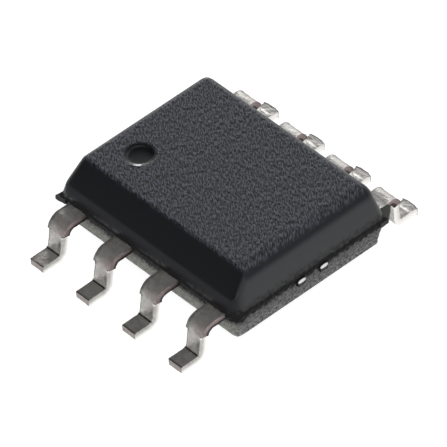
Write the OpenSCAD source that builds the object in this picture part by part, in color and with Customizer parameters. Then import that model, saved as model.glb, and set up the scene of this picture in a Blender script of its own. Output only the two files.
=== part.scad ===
// Eight-lead small-outline integrated circuit: a moulded body, four gull-wing leads on each long side,
// and inside the moulding the die paddle, the adhesive, the silicon die and its bond wires.
// The origin is on the board, under the middle of the body. X runs along the rows of leads, Y across them.
// Lead 1 is at -X on the -Y side, and the numbers run on round the body, seen from above, to lead 8.

/* [Moulded body] */
// Length of the body along the rows of leads, at the parting plane
body_length = 4.9; // [4.6:0.02:6]
// Width of the body between the rows of leads, at the parting plane
body_width = 3.86; // [3.2:0.02:4.7]
// Height of the moulding above the parting plane
upper_height = 0.81; // [0.6:0.01:1.2]
// Depth of the moulding below the parting plane
lower_depth = 0.59; // [0.4:0.01:1]
// Gap between the board and the underside of the body
standoff = 0.24; // [0.05:0.01:0.4]
// Slope of the walls above the parting plane, from upright
upper_draft = 14; // [3:0.5:18]
// Slope of the walls below the parting plane, from upright
lower_draft = 14; // [3:0.5:18]
// Radius of the upper edges of the body
top_edge_radius = 0.17; // [0.04:0.01:0.22]
// Radius of the two edges of the bevel
bevel_edge_radius = 0.2; // [0.02:0.01:0.25]
// Radius of the lower edges of the body
bottom_edge_radius = 0.07; // [0.03:0.01:0.12]
// Radius of the corners of the body at the parting plane
corner_radius = 0.07; // [0.03:0.01:0.15]
// Height of the upright band at the parting plane, on each side of it
parting_band = 0.01; // [0.005:0.005:0.03]
// Drop of the bevel that marks the side of lead 1, from the top face
bevel_drop = 0.4; // [0.2:0.01:0.55]
// Width of the bevel, into the top face
bevel_width = 0.34; // [0.2:0.01:0.5]

/* [Lead 1 mark] */
// Diameter of the round recess beside lead 1
mark_diameter = 0.6; // [0.3:0.02:0.9]
// Depth of the recess
mark_depth = 0.06; // [0.02:0.01:0.15]
// Distance of the recess from the end of the body
mark_from_end = 0.95; // [0.8:0.01:1.5]
// Distance of the recess from the bevelled side of the body
mark_from_side = 1.275; // [1.2:0.005:1.8]

/* [Mould flash] */
// Thickness of the flash beside the leads
flash_thickness = 0.12; // [0.05:0.01:0.16]
// Reach of the sharp ear of flash past the corner of the body, near lead 1
ear_reach = 0.04; // [0.02:0.01:0.12]
// Length of that ear along both walls of the body
ear_length = 0.22; // [0.1:0.01:0.3]
// Reach of the web of flash past the side of the body, beside lead 5
web_reach = 0.28; // [0.05:0.01:0.3]
// Width of the far end of that web, from the edge of the lead below its shoulder
web_foot = 0.09; // [0.06:0.01:0.12]

/* [Leads] */
// Pitch of the leads
lead_pitch = 1.27; // [1:0.01:1.4]
// Length of the flat part of a shoulder, from the side of the body to its bend
shoulder_length = 0.255; // [0.2:0.005:0.4]
// Thickness of the lead frame
frame_thickness = 0.17; // [0.12:0.01:0.22]
// Width of a lead below its shoulder
lead_width = 0.36; // [0.3:0.01:0.46]
// Width of the stub that the cut dambar leaves on each side of a shoulder
stub_width = 0.05; // [0.01:0.005:0.1]
// Length of the flat part of a foot
foot_length = 0.38; // [0.3:0.01:0.6]
// Lean of the leg, from upright
leg_lean = 10; // [2:1:14]
// Inside radius of the bend at the shoulder
shoulder_bend_radius = 0.13; // [0.08:0.01:0.18]
// Inside radius of the bend above the foot
foot_bend_radius = 0.08; // [0.05:0.01:0.16]

/* [Lead frame inside the body] */
// Gap between neighbouring pieces of the lead frame
frame_gap = 0.2; // [0.15:0.01:0.25]
// Width of the die paddle, across the body
paddle_width = 2; // [1.6:0.02:2.3]
// Drop of the paddle below the leads
paddle_drop = 0.15; // [0.05:0.01:0.25]
// Length of the sloped part of a tie bar
tie_slope_length = 0.22; // [0.15:0.01:0.3]
// Width of a tie bar
tie_width = 0.18; // [0.12:0.01:0.22]
// Distance of each tie bar from the middle of the end
tie_offset = 0.28; // [0.2:0.01:0.32]
// Reach of the cut end of a tie bar past the body
tie_reach = 0.012; // [0.005:0.001:0.03]
// Width of the inner end of a middle lead
middle_finger_width = 0.6; // [0.5:0.01:0.7]
// Width of the inner end of a corner lead
corner_finger_width = 0.5; // [0.4:0.01:0.56]
// Distance from the side of the body to where an inner end widens
finger_neck = 0.3; // [0.2:0.01:0.4]

/* [Die and wires] */
// Length of the die, along the body
die_length = 1.7; // [1:0.02:2.2]
// Width of the die, across the body
die_width = 1.3; // [0.8:0.02:1.5]
// Thickness of the die
die_thickness = 0.25; // [0.15:0.01:0.3]
// Thickness of the layer of adhesive under the die
adhesive_thickness = 0.025; // [0.01:0.005:0.05]
// Margin of adhesive squeezed out all round the die
adhesive_margin = 0.05; // [0.02:0.01:0.1]
// Distance of the bond pads from the edges of the die
pad_inset = 0.12; // [0.08:0.01:0.2]
// Diameter of a bond wire
wire_diameter = 0.03; // [0.02:0.005:0.04]
// Rise of a wire's loop above the line between its ends
loop_height = 0.24; // [0.15:0.01:0.3]
// Diameter of the bonded ends of a wire
bond_diameter = 0.09; // [0.07:0.01:0.12]
// Thickness of the bonded ends of a wire
bond_thickness = 0.03; // [0.02:0.005:0.05]
// Distance from the tip of an inner end to its wire
bond_from_tip = 0.14; // [0.08:0.01:0.2]

/* [Hidden] */

$fn = 32;
LEADS = 8;
LEADS_PER_SIDE = LEADS / 2;
WIRE_SIDES = 8;
WIRE_RINGS = 20;
CUT_PAST = 0.1;
MARK_FACETS = 64;
BEND_FACETS = 48;
BOND_FACETS = 24;

// Heights above the board, and the side of the body
wall_y = body_width / 2;
parting_z = standoff + lower_depth;
top_z = parting_z + upper_height;
frame_low_z = parting_z - frame_thickness;
paddle_top_z = parting_z - paddle_drop;
paddle_low_z = paddle_top_z - frame_thickness;
die_low_z = paddle_top_z + adhesive_thickness;
die_top_z = die_low_z + die_thickness;

// The leg: radii at the middle of the strip, then the run of each stretch
shoulder_mid_radius = shoulder_bend_radius + frame_thickness / 2;
foot_mid_radius = foot_bend_radius + frame_thickness / 2;
bend_angle = 90 - leg_lean;
bends_drop = (shoulder_mid_radius + foot_mid_radius) * (1 - cos(bend_angle));
leg_length = (frame_low_z - bends_drop) / cos(leg_lean);
leg_run = (shoulder_mid_radius + foot_mid_radius) * sin(bend_angle) + leg_length * sin(leg_lean);
shoulder_end_y = wall_y + shoulder_length;
foot_start_y = shoulder_end_y + leg_run;
shoulder_width = lead_width + 2 * stub_width;

// Inner ends of the leads, as distances from the middle of the body
neck_y = wall_y - finger_neck;
middle_tip_y = paddle_width / 2 + frame_gap;
corner_tip_y = tie_offset + tie_width / 2 + frame_gap;
corner_x = (LEADS_PER_SIDE - 1) / 2 * lead_pitch;
paddle_length = 2 * (corner_x - corner_finger_width / 2 - frame_gap);

// Section of the body above the parting plane, as [y, z] from the bevelled side to the plain side
wall_top_y = wall_y - upper_height * tan(upper_draft);
bevel_low_y = wall_y - (upper_height - bevel_drop) * tan(upper_draft);
section = [
    [-wall_y, 0],
    [-bevel_low_y, upper_height - bevel_drop],
    [-wall_top_y + bevel_width, upper_height],
    [wall_top_y, upper_height],
    [wall_y, 0]
];

// How far a ball of radius r, with its middle at height z, stays inside a wall with a draft
function ball_inset(z, r, draft) = z * tan(draft) + r / cos(draft);

// The point at distance r inside both edges that meet at corner b of an outline that runs a, b, c
function inside_corner(a, b, c, r) =
    let (
        u = (a - b) / norm(a - b),
        v = (c - b) / norm(c - b),
        half = acos(u * v) / 2
    )
    b + (u + v) / norm(u + v) * r / sin(half);

// Where lead n stands: its place along the row, and the side of the body that it is on
function lead_x(n) = n <= LEADS_PER_SIDE
    ? (n - (LEADS_PER_SIDE + 1) / 2) * lead_pitch
    : (LEADS + 1 - n - (LEADS_PER_SIDE + 1) / 2) * lead_pitch;
function lead_side(n) = n <= LEADS_PER_SIDE ? -1 : 1;
function is_corner(n) = n == 1 || n == LEADS_PER_SIDE || n == LEADS_PER_SIDE + 1 || n == LEADS;

// Where the wire of lead n is bonded, on the lead and on the die
function lead_bond(n) = [
    lead_x(n),
    lead_side(n) * ((is_corner(n) ? corner_tip_y : middle_tip_y) + bond_from_tip),
    parting_z
];
function die_bond(n) = is_corner(n)
    ? [sign(lead_x(n)) * (die_length / 2 - pad_inset), lead_side(n) * die_width / 4, die_top_z]
    : [lead_x(n) / 2, lead_side(n) * (die_width / 2 - pad_inset), die_top_z];

// Height of a wire's loop over its chord, at share t of the way to the lead: steep at the die
function loop_rise(t) = loop_height * sin(180 * sqrt(t));
function wire_point(n, t) =
    let (
        a = die_bond(n) + [0, 0, bond_thickness / 2],
        b = lead_bond(n) + [0, 0, bond_thickness / 2]
    )
    a + (b - a) * t + [0, 0, loop_rise(t)];

function cross_unit(u, v) = cross(u, v) / norm(cross(u, v));

// One ring of points round a wire, square to the way that it runs
function wire_ring(n, i) =
    let (
        t = i / (WIRE_RINGS - 1),
        step = 1 / (WIRE_RINGS - 1),
        along = wire_point(n, min(1, t + step)) - wire_point(n, max(0, t - step)),
        across = cross_unit(along, [0, 0, 1]),
        over = cross_unit(across, along)
    )
    [for (s = [0 : WIRE_SIDES - 1])
        wire_point(n, t) + wire_diameter / 2
            * (across * cos(360 * s / WIRE_SIDES) + over * sin(360 * s / WIRE_SIDES))];

// The skin of a tube through the rings, in triangles that face outwards
function tube_faces(rings, sides) = concat(
    [[for (s = [0 : sides - 1]) s]],
    [for (i = [0 : rings - 2], s = [0 : sides - 1])
        [i * sides + s, (i + 1) * sides + s, (i + 1) * sides + (s + 1) % sides]],
    [for (i = [0 : rings - 2], s = [0 : sides - 1])
        [i * sides + s, (i + 1) * sides + (s + 1) % sides, i * sides + (s + 1) % sides]],
    [[for (s = [0 : sides - 1]) rings * sides - 1 - s]]
);

// A thin slab with rounded corners, standing on z
module rounded_slab(length, width, height, z) {
    for (x = [-1, 1], y = [-1, 1])
        translate([x * (length / 2 - corner_radius), y * (width / 2 - corner_radius), z])
            cylinder(r = corner_radius, h = height);
}

// The body above the parting plane, with its bevel
module upper_moulding() {
    radii = [bevel_edge_radius, bevel_edge_radius, top_edge_radius];
    hull() {
        rounded_slab(body_length, body_width, parting_band, parting_z);
        for (i = [1 : 3], side = [-1, 1]) {
            r = radii[i - 1];
            middle = inside_corner(section[i - 1], section[i], section[i + 1], r);
            x = body_length / 2 - ball_inset(middle[1], r, upper_draft);
            translate([side * x, middle[0], parting_z + middle[1]]) sphere(r = r);
        }
    }
}

// The body below the parting plane
module lower_moulding() {
    r = bottom_edge_radius;
    inset = ball_inset(lower_depth - r, r, lower_draft);
    hull() {
        rounded_slab(body_length, body_width, parting_band, parting_z - parting_band);
        for (x = [-1, 1], y = [-1, 1])
            translate([x * (body_length / 2 - inset), y * (body_width / 2 - inset), standoff + r])
                sphere(r = r);
    }
}

// Flash that the mould left: a sharp ear on the corner beside lead 1, and a web beside lead 5
module flash() {
    end_x = body_length / 2;
    root_x = corner_x + lead_width / 2;
    inner_y = wall_y - web_reach;
    translate([0, 0, parting_z - flash_thickness]) linear_extrude(flash_thickness) {
        polygon([
            [-end_x, -wall_y + ear_length],
            [-end_x - ear_reach, -wall_y - ear_reach],
            [-end_x + ear_length, -wall_y],
            [-end_x + ear_length, -wall_y + corner_radius],
            [-end_x + corner_radius, -wall_y + ear_length]
        ]);
        polygon([
            [root_x, inner_y],
            [end_x, inner_y],
            [end_x, wall_y],
            [root_x + web_foot, wall_y + web_reach],
            [root_x, wall_y + web_reach]
        ]);
    }
}

// Everything that the mould was filled around
module inserts() {
    for (n = [1 : LEADS]) {
        lead(n);
        bond_wire(n);
    }
    die_paddle();
    die_adhesive();
    silicon_die();
}

module mould_body() {
    mark_x = -body_length / 2 + mark_from_end;
    mark_y = -wall_y + mark_from_side;
    color([0.2, 0.21, 0.23]) difference() {
        union() {
            upper_moulding();
            lower_moulding();
            flash();
        }
        translate([mark_x, mark_y, top_z - mark_depth])
            cylinder(d = mark_diameter, h = mark_depth + CUT_PAST, $fn = MARK_FACETS);
        inserts();
    }
}

// The inner end and shoulder of a lead, seen from above, with +Y pointing out of the body
module lead_plan(tip_y, finger_width) {
    polygon([
        [-finger_width / 2, tip_y],
        [finger_width / 2, tip_y],
        [finger_width / 2, neck_y - finger_neck / 2],
        [shoulder_width / 2, neck_y],
        [shoulder_width / 2, shoulder_end_y],
        [-shoulder_width / 2, shoulder_end_y],
        [-shoulder_width / 2, neck_y],
        [-finger_width / 2, neck_y - finger_neck / 2]
    ]);
}

// A bend in a strip about an axis along X, from straight up at the start to bend_angle towards +Y
module strip_bend(inside_radius, width) {
    rotate([0, -90, 0]) rotate_extrude(angle = bend_angle, $fn = BEND_FACETS)
        translate([inside_radius, -width / 2]) square([frame_thickness, width]);
}

// One formed lead, pointing out along +Y from the middle of the body
module lead_strip(tip_y, finger_width) {
    shoulder_axis_z = frame_low_z - shoulder_bend_radius;
    foot_axis_z = frame_thickness + foot_bend_radius;
    leg_top_y = shoulder_end_y + shoulder_mid_radius * sin(bend_angle);
    leg_top_z = shoulder_axis_z + shoulder_mid_radius * cos(bend_angle);
    translate([0, 0, frame_low_z]) linear_extrude(frame_thickness) lead_plan(tip_y, finger_width);
    translate([0, shoulder_end_y, shoulder_axis_z]) strip_bend(shoulder_bend_radius, shoulder_width);
    translate([0, leg_top_y, leg_top_z]) rotate([leg_lean, 0, 0])
        translate([-lead_width / 2, -frame_thickness / 2, -leg_length])
            cube([lead_width, frame_thickness, leg_length]);
    translate([0, foot_start_y, foot_axis_z]) rotate([180, 0, 0])
        strip_bend(foot_bend_radius, lead_width);
    translate([-lead_width / 2, foot_start_y, 0]) cube([lead_width, foot_length, frame_thickness]);
}

module lead(n) {
    tip_y = is_corner(n) ? corner_tip_y : middle_tip_y;
    finger_width = is_corner(n) ? corner_finger_width : middle_finger_width;
    color([0.72, 0.71, 0.69]) translate([lead_x(n), 0, 0])
        rotate([0, 0, lead_side(n) > 0 ? 0 : 180]) lead_strip(tip_y, finger_width);
}

// The plate under the die, with two tie bars at each end that step up to the level of the leads
module die_paddle() {
    slope_x = paddle_length / 2;
    level_x = slope_x + tie_slope_length;
    cut_x = body_length / 2 + tie_reach;
    color([0.78, 0.5, 0.32]) {
        translate([-slope_x, -paddle_width / 2, paddle_low_z])
            cube([paddle_length, paddle_width, frame_thickness]);
        for (end = [0, 180], y = [-tie_offset, tie_offset])
            rotate([0, 0, end]) translate([0, y + tie_width / 2, 0])
                rotate([90, 0, 0]) linear_extrude(tie_width) polygon([
                    [slope_x, paddle_low_z],
                    [level_x, frame_low_z],
                    [cut_x, frame_low_z],
                    [cut_x, parting_z],
                    [level_x, parting_z],
                    [slope_x, paddle_top_z]
                ]);
    }
}

// A block centred on the body's middle, standing on z
module centred_block(length, width, height, z) {
    translate([-length / 2, -width / 2, z]) cube([length, width, height]);
}

module die_adhesive() {
    color([0.75, 0.75, 0.78]) centred_block(
        die_length + 2 * adhesive_margin,
        die_width + 2 * adhesive_margin,
        adhesive_thickness,
        paddle_top_z
    );
}

module silicon_die() {
    color([0.35, 0.38, 0.45]) centred_block(die_length, die_width, die_thickness, die_low_z);
}

// A wire from the die to lead n, with the flattened bond at each of its ends
module bond_wire(n) {
    points = [for (i = [0 : WIRE_RINGS - 1], p = wire_ring(n, i)) p];
    color([0.85, 0.65, 0.25]) {
        polyhedron(points = points, faces = tube_faces(WIRE_RINGS, WIRE_SIDES));
        for (place = [die_bond(n), lead_bond(n)])
            translate(place) cylinder(d = bond_diameter, h = bond_thickness, $fn = BOND_FACETS);
    }
}

mould_body();
lead(1);  // lead_1
lead(2);  // lead_2
lead(3);  // lead_3
lead(4);  // lead_4
lead(5);  // lead_5
lead(6);  // lead_6
lead(7);  // lead_7
lead(8);  // lead_8
die_paddle();
die_adhesive();
silicon_die();
bond_wire(1);  // bond_wire_1
bond_wire(2);  // bond_wire_2
bond_wire(3);  // bond_wire_3
bond_wire(4);  // bond_wire_4
bond_wire(5);  // bond_wire_5
bond_wire(6);  // bond_wire_6
bond_wire(7);  // bond_wire_7
bond_wire(8);  // bond_wire_8
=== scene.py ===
import math

import bmesh
import bpy
from mathutils import Matrix, Vector


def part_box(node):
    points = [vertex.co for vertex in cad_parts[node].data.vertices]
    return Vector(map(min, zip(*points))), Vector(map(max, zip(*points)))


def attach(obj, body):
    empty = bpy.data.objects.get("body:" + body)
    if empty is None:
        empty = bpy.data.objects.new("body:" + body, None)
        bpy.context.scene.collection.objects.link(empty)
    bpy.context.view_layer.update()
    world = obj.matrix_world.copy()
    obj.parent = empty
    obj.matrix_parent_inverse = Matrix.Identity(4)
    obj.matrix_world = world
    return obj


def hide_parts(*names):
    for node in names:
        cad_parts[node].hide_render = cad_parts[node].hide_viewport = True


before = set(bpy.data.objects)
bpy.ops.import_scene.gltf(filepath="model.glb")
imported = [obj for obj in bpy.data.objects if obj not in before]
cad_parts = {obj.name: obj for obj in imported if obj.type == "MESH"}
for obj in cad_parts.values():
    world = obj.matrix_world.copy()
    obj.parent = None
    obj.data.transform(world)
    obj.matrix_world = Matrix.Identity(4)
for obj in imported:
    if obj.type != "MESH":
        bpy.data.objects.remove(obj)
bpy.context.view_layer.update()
print("frame loaded,", len(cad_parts), "nodes")

metre = 1000  # pieces are modelled in millimetres, and brought down to metres at the end


# modelling helpers

def boxOf(node):
    low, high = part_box(node)
    return low * metre, high * metre


def deselectAll():
    if bpy.context.object and bpy.context.object.mode != "OBJECT":
        bpy.ops.object.mode_set(mode="OBJECT")
    bpy.ops.object.select_all(action="DESELECT")


def workOn(piece):
    deselectAll()
    piece.select_set(True)
    bpy.context.view_layer.objects.active = piece


def editMode(piece):
    workOn(piece)
    bpy.ops.object.mode_set(mode="EDIT")


def objectMode():
    bpy.ops.object.mode_set(mode="OBJECT")


def addBlock(name, low, high):
    deselectAll()
    low, high = Vector(low), Vector(high)
    bpy.ops.mesh.primitive_cube_add(size=1, location=(low + high) / 2)
    block = bpy.context.object
    block.name = name
    block.data.name = name
    block.scale = high - low
    bpy.ops.object.transform_apply(location=True, rotation=True, scale=True)
    return block


# selects the edges or faces of the piece in edit mode that pass the test
def pick(kind, test):
    bpy.ops.mesh.select_mode(type=kind)
    bpy.ops.mesh.select_all(action="DESELECT")
    mesh = bmesh.from_edit_mesh(bpy.context.object.data)
    parts = mesh.edges if kind == "EDGE" else mesh.faces
    for part in parts:
        if test(part):
            part.select_set(True)
    mesh.select_flush_mode()
    bmesh.update_edit_mesh(bpy.context.object.data)


def middle(part):
    return sum((v.co for v in part.verts), Vector()) / len(part.verts)


def near(a, b, slack=0.002):
    return abs(a - b) < slack


def level(edge):
    return near(edge.verts[0].co.z, edge.verts[1].co.z, 0.0005)


def slide(x=0, y=0, z=0):
    bpy.ops.transform.translate(value=(x, y, z))


def grow(x=1, y=1, z=1, about=(0, 0, 0)):
    bpy.ops.transform.resize(value=(x, y, z), center_override=about)


def pullOut(x=0, y=0, z=0):
    bpy.ops.mesh.extrude_region_move(TRANSFORM_OT_translate={"value": (x, y, z)})


def cutAt(point, normal, clear=False):
    bpy.ops.mesh.bisect(plane_co=point, plane_no=normal, clear_outer=clear, use_fill=clear, threshold=0.0001)


def cutAllAt(point, normal, clear=False):
    bpy.ops.mesh.select_all(action="SELECT")
    cutAt(point, normal, clear)


def faceOutwards():
    bpy.ops.mesh.select_all(action="SELECT")
    bpy.ops.mesh.normals_make_consistent(inside=False)


def addModifier(piece, kind, **settings):
    modifier = piece.modifiers.new(kind.title(), kind)
    for key, value in settings.items():
        setattr(modifier, key, value)


def applyModifiers(piece):
    workOn(piece)
    for modifier in list(piece.modifiers):
        bpy.ops.object.modifier_apply(modifier=modifier.name)


# soft random dents, pushed in along the normals
def roughen(piece, kind, size, depth, group="", grain=None, **look):
    pattern = bpy.data.textures.new(piece.name + kind.title(), kind)
    pattern.noise_scale = size
    for key, value in look.items():
        setattr(pattern, key, value)
    addModifier(piece, "DISPLACE", texture=pattern, strength=depth, mid_level=1, vertex_group=group,
                texture_coords="OBJECT" if grain else "LOCAL", texture_coords_object=grain)
    applyModifiers(piece)


# an empty whose axes stretch a pattern along its Y axis, turned about the vertical
def grainAxes(turn, stretch):
    bpy.ops.object.empty_add(rotation=(0, 0, math.radians(turn)))
    axes = bpy.context.object
    axes.scale.y = stretch
    return axes


def weigh(piece, name, share):
    group = piece.vertex_groups.new(name=name)
    for v in piece.data.vertices:
        amount = share(v)
        if amount > 0:
            group.add([v.index], min(1, amount), "REPLACE")
    return name


# a soft step from 0 at the start to 1 at the end
def fade(value, start, end):
    share = min(1, max(0, (value - start) / (end - start)))
    return share * share * (3 - 2 * share)


# 1 at the centre, and down to 0 at the width to either side
def bump(value, centre, width):
    return fade(abs(value - centre), width, 0)


# new point attributes, fetched once they are all made
def addPointValues(piece, names):
    for name in names:
        piece.data.attributes.new(name, "FLOAT", "POINT")
    return {name: piece.data.attributes[name] for name in names}


def bringDown(piece):
    workOn(piece)
    piece.scale = (1 / metre,) * 3
    bpy.ops.object.transform_apply(location=True, rotation=True, scale=True)


def smoothEdges(piece, angle):
    workOn(piece)
    bpy.ops.object.shade_smooth_by_angle(angle=math.radians(angle))


# the body, from the parting plane up and down

body = {
    "width": 3.86,
    "upperDraft": 14,
    "lowerDraft": 11,
    "bevelDrop": 0.54,
    "bevelWidth": 0.305,
    "band": 0.01,
    "topRounding": 0.133,
    "frontTopRounding": 0.27,
    "frontBevelRounding": 0.11,
    "bevelTopRounding": 0.025,
    "bevelLowRounding": 0.1,
    "cornerRounding": 0.19,
    "frontCornerRounding": 0.3,
    "bottomRounding": 0.055,
    "segments": 8,
    "pastRounding": 1.2,
    "overRounding": 1.3,
    "smoothAngle": 30,
    "cells": (24, 17),
    "topCuts": 10,
    "bevelCuts": 5,
    "bevelCutStep": 0.02,
    "overBevel": (0.025, 0.075),  # the pebbles fade out over this stretch of the bevel
    "overFrontEnd": 0.13,
    "pebbleFacing": (0.5, 0.75),
    "pebbleSize": 0.03,
    "pebbleDepth": 0.009,
    "pebbleTurn": 54,
    "pebbleStretch": 1.95,
    "lip": 0.006,
    "lipFillet": 0.09,
    "lipRows": (0.15, 0.35, 0.6, 0.8, 1.1, 1.6),
    "lipTop": 1.2,
    "lipShadow": 0.035,
    "lipSharp": 0.8,
    "lipSharpReach": (0.01, 0.07),
    "wallCuts": 5,
    "bottomMargin": 0.02,
    "firstLowerRow": 0.02,
    "lowerRows": 16,
    "lowerGrain": 0.05,
    "lowerDepth": 0.03,
    "markFromEnd": 0.95,
    "markFromSide": 1.275,
    "markWidth": 0.69,
    "markRoom": 0.05,
    "markDepth": 0.07,
    "markFloorRounding": 0.05,
    "markFloorSteps": 4,
    "markFloorRings": (0.75, 0.5, 0.25),
    "markLip": 0.08,
    "markLipTilt": 13,
    "markLipRings": (0.2, 0.45, 0.7, 0.9),
    "polishWay": (0.55, -0.83),
    "polishSpread": 26,
    "polishWidth": 0.07,
    "markDish": 0.006,
    "markRings": 12,
}

lead = {
    "count": 8,
    "width": 0.36,
    "stub": 0.05,
    "thickness": 0.17,
    "flat": 0.255,
    "neck": 0.3,
    "bendAngle": 80,
    "shoulderBend": 0.13,
    "footBend": 0.08,
    "footLength": 0.375,
    "pitch": 1.27,
    "acrossCuts": (0.14, 0.105, 0.07, 0.035, 0),
    "upCuts": (0.055, 0.09, 0.13),
    "bendSteps": 14,
    "straightSteps": 12,
    "flatStep": 0.03,
    "cornerFinger": (0.5, 0.57),  # the width of a finger in the moulding, and the place of its tip
    "middleFinger": (0.6, 1.2),
    "roundBelow": 0.046,
    "roundAbove": 0.008,
    "creasePlace": -0.09,
    "creaseDepth": 0.014,
    "creaseWidth": 0.026,
    "dentSize": 0.12,
    "dentDepth": 0.014,
    "grainSize": 0.03,
    "grainDepth": 0.006,
    "smoothAngle": 40,
}

# what sets leads 5 to 8 apart: shoulders a little out and up, and toes with a low ridge and round corners
farLead = {
    "shoulderPush": 0.06,
    "shoulderLift": 0.035,
    "pushFrom": (-0.1, 0.12),
    "ridgePlace": 0.165,
    "ridgeRise": 0.022,
    "ridgeSlope": (0.04, -0.03),
    "tipRounding": 0.1,
}

bodyLow, bodyHigh = boxOf("mould_body")
endX = bodyHigh.x
wallY = body["width"] / 2
topZ = bodyHigh.z
bottomZ = bodyLow.z
partingZ = boxOf("lead_1")[1].z


def draftRun(height, draft):
    return height * math.tan(math.radians(draft))


topRun = draftRun(topZ - partingZ, body["upperDraft"])
bottomRun = draftRun(partingZ - bottomZ, body["lowerDraft"])
topX = endX - topRun
topY = wallY - topRun
bevelLowZ = topZ - body["bevelDrop"]
bevelLowY = wallY - draftRun(bevelLowZ - partingZ, body["upperDraft"])
bevelTopY = topY - body["bevelWidth"]
bevelWay = Vector((0, bevelTopY - bevelLowY, bevelLowZ - topZ)).normalized()
bevelTop = Vector((0, -bevelTopY, topZ))
markX = -endX + body["markFromEnd"]
markY = -wallY + body["markFromSide"]


def makeBlank():
    blank = addBlock("bodyShell", (-endX, -wallY, partingZ + body["band"]), (endX, wallY, topZ))
    editMode(blank)
    pick("FACE", lambda f: f.normal.z > 0.9)
    grow(topX / endX, topY / wallY, about=(0, 0, topZ))
    pick("FACE", lambda f: f.normal.z < -0.9)
    pullOut(z=-2 * body["band"])
    pullOut(z=bottomZ - partingZ + body["band"])
    grow((endX - bottomRun) / endX, (wallY - bottomRun) / wallY, about=(0, 0, bottomZ))
    cutAllAt(bevelTop, (0, -body["bevelDrop"], bevelLowY - bevelTopY), clear=True)
    objectMode()
    return blank


# how far each edge of the blank is rounded back
def roundingOf(edge):
    a, b = (v.co for v in edge.verts)
    if near(a.z, topZ) and near(b.z, topZ):
        onBevel = near(a.y, -bevelTopY) and near(b.y, -bevelTopY)
        onFrontEnd = near(a.x, topX) and near(b.x, topX)
        return body["bevelTopRounding" if onBevel else "frontTopRounding" if onFrontEnd else "topRounding"]
    if near(a.z, bottomZ) and near(b.z, bottomZ):
        return body["bottomRounding"]
    if near(a.z, bevelLowZ, 0.01) and near(b.z, bevelLowZ, 0.01):
        return body["bevelLowRounding"]
    if near(a.z, b.z):
        return 0
    alongBevel = near(max(a.z, b.z), topZ, 0.01)
    if alongBevel:
        return body["frontBevelRounding" if a.x > 0 else "topRounding"]
    return cornerRadius((a + b) / 2)


def cornerRadius(place):
    isWide = place.x > 0 > place.y and place.z < partingZ + body["band"]
    return body["frontCornerRounding" if isWide else "cornerRounding"]


def roundTheEdges(blank):
    editMode(blank)
    mesh = bmesh.from_edit_mesh(blank.data)
    weight = mesh.edges.layers.float.new("bevel_weight_edge")
    widest = body["frontCornerRounding"]
    for edge in mesh.edges:
        edge[weight] = roundingOf(edge) / widest
    bmesh.update_edit_mesh(blank.data)
    objectMode()
    addModifier(blank, "BEVEL", limit_method="WEIGHT", width=widest, segments=body["segments"],
                use_clamp_overlap=False)
    applyModifiers(blank)


# cuts the skin into cells along X and Y, from border to border of the flat top
def cutCells(shell):
    editMode(shell)
    alongX, alongY = body["cells"]
    firstX, lastX = -topX + body["topRounding"], topX - body["frontTopRounding"]
    firstY, lastY = -bevelTopY + body["bevelTopRounding"], topY - body["topRounding"]
    for i in range(alongX + 1):
        cutAllAt((firstX + (lastX - firstX) * i / alongX, 0, 0), (1, 0, 0))
    for i in range(1, alongY + 1):
        cutAllAt((0, firstY + (lastY - firstY) * i / alongY, 0), (0, 1, 0))
    objectMode()


# more cuts along the top of the bevel, where the pebbles run over its edge
def cutBevel(shell):
    editMode(shell)
    start = bevelTop + bevelWay * body["bevelTopRounding"]
    for i in range(1, body["bevelCuts"] + 1):
        pick("FACE", lambda f: f.normal.y < -0.3 and f.normal.z > 0.5)
        cutAt(start + bevelWay * i * body["bevelCutStep"], bevelWay)
    objectMode()


# rows of cuts along the fillet above the parting plane, and down the whole wall below it
def cutWalls(shell):
    editMode(shell)
    above = [body["lipFillet"] * share for share in body["lipRows"]]
    lowest = bottomZ + body["overRounding"] * body["bottomRounding"]
    rows = body["lowerRows"]
    below = [(lowest - partingZ) * i / rows for i in range(1, rows + 1)]
    for height in above + [-body["firstLowerRow"], *below]:
        cutAllAt((0, 0, partingZ + height), (0, 0, 1))
    objectMode()


# splits the level edges of the lower walls, so that their grain has room
def gridWalls(shell):
    editMode(shell)
    lowest = bottomZ + body["bottomMargin"]
    highest = partingZ + body["lipFillet"] * body["lipTop"]
    pick("EDGE", lambda e: level(e) and lowest < middle(e).z < highest)
    bpy.ops.mesh.subdivide(number_cuts=body["wallCuts"])
    objectMode()


# how far a wall stands back from the lip at the parting plane
def lipShare(z):
    above = z - partingZ
    if above >= 0:
        return (1 - above / (topZ - partingZ)) * fade(above, 0, body["lipFillet"])
    return (1 + above / (partingZ - bottomZ)) * fade(-above, 0, body["lipShadow"])


# leaves a thin lip all round, and draws its corners out nearly sharp
def shapeLip(shell):
    normals = [v.normal.copy() for v in shell.data.vertices]
    for v, normal in zip(shell.data.vertices, normals):
        place = v.co
        flat = Vector((normal.x, normal.y, 0))
        if abs(normal.z) < 0.9 and flat.length > 0:
            place -= flat.normalized() * body["lip"] * lipShare(place.z)
        corner = cornerRadius(place)
        fromAxis = Vector((abs(place.x) - endX + corner, abs(place.y) - wallY + corner))
        if min(fromAxis) > 0 and abs(normal.z) < 0.95:
            sharp = body["lipSharp"] * (1 - fade(abs(place.z - partingZ), *body["lipSharpReach"]))
            square = (fromAxis.length / max(fromAxis) - 1) * sharp
            place.x += math.copysign(fromAxis.x * square, place.x)
            place.y += math.copysign(fromAxis.y * square, place.y)


# splits the cells of the top into a fine grid, down past its widest rounding
def gridTop(shell):
    editMode(shell)
    lowest = topZ - body["pastRounding"] * body["frontTopRounding"]
    pick("EDGE", lambda e: level(e) and middle(e).z > lowest)
    bpy.ops.mesh.subdivide(number_cuts=body["topCuts"])
    objectMode()


# middle and mean radius of the ring of edges that is selected
def ringNow(shell):
    points = [v.co for v in bmesh.from_edit_mesh(shell.data).verts if v.select]
    centre = sum(points, Vector()) / len(points)
    return centre, sum((p - centre).length for p in points) / len(points)


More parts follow.
